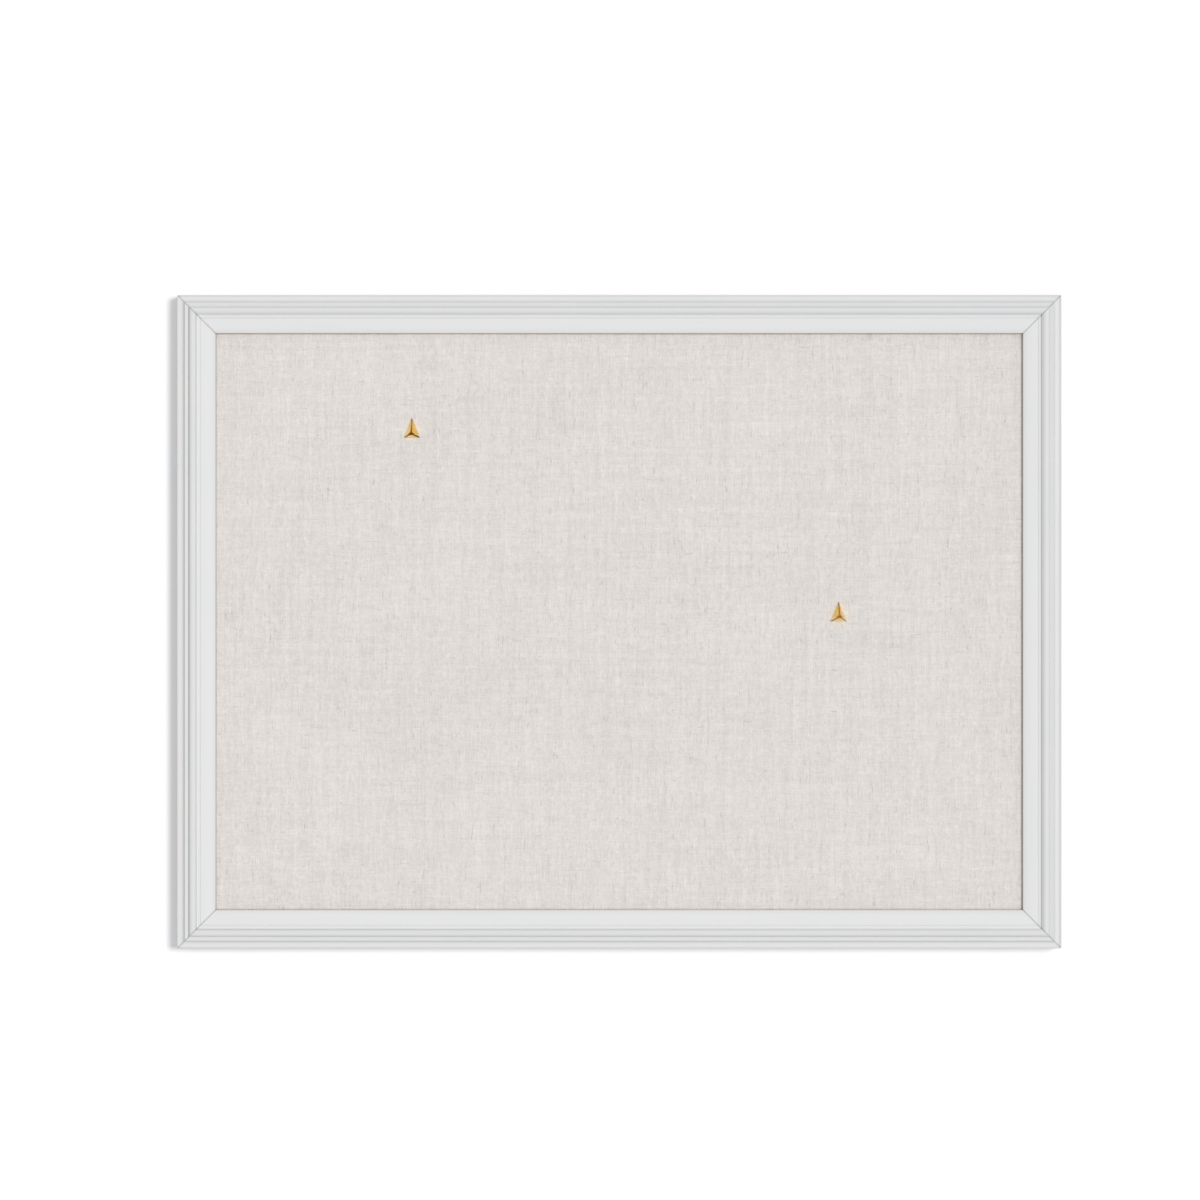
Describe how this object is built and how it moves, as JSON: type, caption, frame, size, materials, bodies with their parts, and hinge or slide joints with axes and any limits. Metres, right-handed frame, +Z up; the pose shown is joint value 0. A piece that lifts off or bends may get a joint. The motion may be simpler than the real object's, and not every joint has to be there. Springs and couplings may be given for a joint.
{
  "type": "framed bulletin board",
  "caption": "Wall-hung pin board: linen over cork in a mitred white moulding, with D-ring hangers, wall bumpers and pyramid push pins.",
  "frame": {"origin": "on the wall, midway between the two places where wall hooks carry the D-rings when the rings are swung up", "axes": "+X to the right as seen from the front, +Y into the wall, +Z up; the linen faces -Y"},
  "size_m": [0.5842, 0.0278, 0.4318],
  "materials": {
    "white_paint": "wooden moulding in white satin paint",
    "linen": "plain-woven natural linen, slubby, matte",
    "cork": "agglomerated cork, matte",
    "hardboard": "tempered hardboard, smooth brown",
    "steel": "bright drawn steel",
    "nickel_plate": "nickel-plated steel",
    "bumper_rubber": "pale moulded rubber, matte",
    "gold_plate": "polished gold plate over cast metal"
  },
  "bodies": {
    "board": {"top_rail": "white_paint", "right_stile": "white_paint", "bottom_rail": "white_paint", "left_stile": "white_paint", "linen_cover": "linen", "cork_panel": "cork", "backing_board": "hardboard", "corner_wedge_top_right_outer": "steel", "corner_wedge_top_right_inner": "steel", "corner_wedge_bottom_right_outer": "steel", "corner_wedge_bottom_right_inner": "steel", "corner_wedge_bottom_left_outer": "steel", "corner_wedge_bottom_left_inner": "steel", "corner_wedge_top_left_outer": "steel", "corner_wedge_top_left_inner": "steel", "retaining_point_top_1": "steel", "retaining_point_top_2": "steel", "retaining_point_top_3": "steel", "retaining_point_right_1": "steel", "retaining_point_right_2": "steel", "retaining_point_bottom_1": "steel", "retaining_point_bottom_2": "steel", "retaining_point_bottom_3": "steel", "retaining_point_left_1": "steel", "retaining_point_left_2": "steel", "left_hanger_strap": "nickel_plate", "left_hanger_screw": "nickel_plate", "right_hanger_strap": "nickel_plate", "right_hanger_screw": "nickel_plate", "wall_bumper_top_left": "bumper_rubber", "wall_bumper_top_right": "bumper_rubber", "wall_bumper_bottom_left": "bumper_rubber", "wall_bumper_bottom_right": "bumper_rubber"},
    "left_pin": {"left_pin_head": "gold_plate", "left_pin_needle": "steel"},
    "right_pin": {"right_pin_head": "gold_plate", "right_pin_needle": "steel"},
    "left_ring": {"left_hanger_ring": "nickel_plate"},
    "right_ring": {"right_hanger_ring": "nickel_plate"}
  },
  "joints": [
    {"name": "left_pin_pull", "type": "slide", "parent": "board", "child": "left_pin", "axis": [0, -1, 0], "range_m": [0, 0.012]},
    {"name": "right_pin_pull", "type": "slide", "parent": "board", "child": "right_pin", "axis": [0, -1, 0], "range_m": [0, 0.012]},
    {"name": "left_ring_swing", "type": "hinge", "parent": "board", "child": "left_ring", "pos_m": [-0.28265, -0.0027, -0.0119], "axis": [1, 0, 0], "range_deg": [0, 178]},
    {"name": "right_ring_swing", "type": "hinge", "parent": "board", "child": "right_ring", "pos_m": [0.28265, -0.0027, -0.0119], "axis": [1, 0, 0], "range_deg": [0, 178]}
  ]
}
